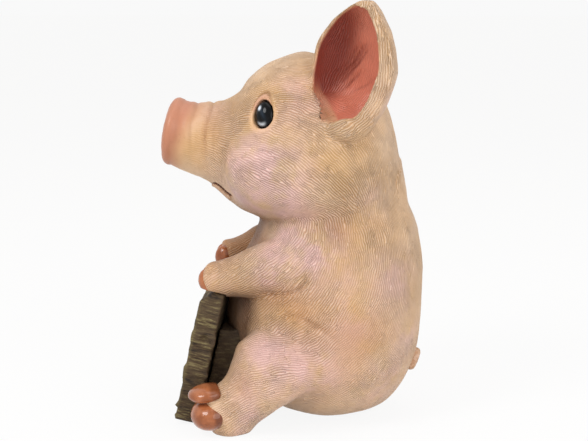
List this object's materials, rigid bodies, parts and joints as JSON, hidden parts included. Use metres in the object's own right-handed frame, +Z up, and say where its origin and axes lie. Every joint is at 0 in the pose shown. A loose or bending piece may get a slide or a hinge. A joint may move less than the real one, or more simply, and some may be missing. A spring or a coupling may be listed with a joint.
{
  "type": "pig figurine",
  "caption": "Seated piglet figurine with upright scoop ears that holds a blank board between its hind feet and under its forehooves.",
  "frame": {"origin": "on the table, under the middle of the bounding box", "axes": "+Z up, -Y is where the piglet looks, +X is the piglet's left"},
  "size_m": [0.137, 0.1655, 0.2613],
  "materials": {
    "skin": "hand-painted satin resin with carved hair",
    "nose": "satin painted resin",
    "ear": "hand-painted satin resin, pink inside",
    "eye": "glossy black dome",
    "hoof": "glossy brown enamel over resin",
    "board": "painted resin, rough wood look",
    "pin": "plain steel dowel",
    "plug": "soft stopper"
  },
  "bodies": {
    "root": {"base_plug": "plug", "board_web": "board", "head_shell": "skin", "left_board_pin": "pin", "left_ear": "ear", "left_eye": "eye", "left_fore_hoof": "hoof", "left_foreleg": "skin", "left_foreleg_pin": "pin", "left_hind_hoof": "hoof", "left_hind_leg": "skin", "left_hind_leg_pin": "pin", "nose_pad": "nose", "right_board_pin": "pin", "right_ear": "ear", "right_eye": "eye", "right_fore_hoof": "hoof", "right_foreleg": "skin", "right_foreleg_pin": "pin", "right_hind_hoof": "hoof", "right_hind_leg": "skin", "right_hind_leg_pin": "pin", "sign_board": "board", "tail": "skin", "torso_shell": "skin"}
  },
  "joints": []
}
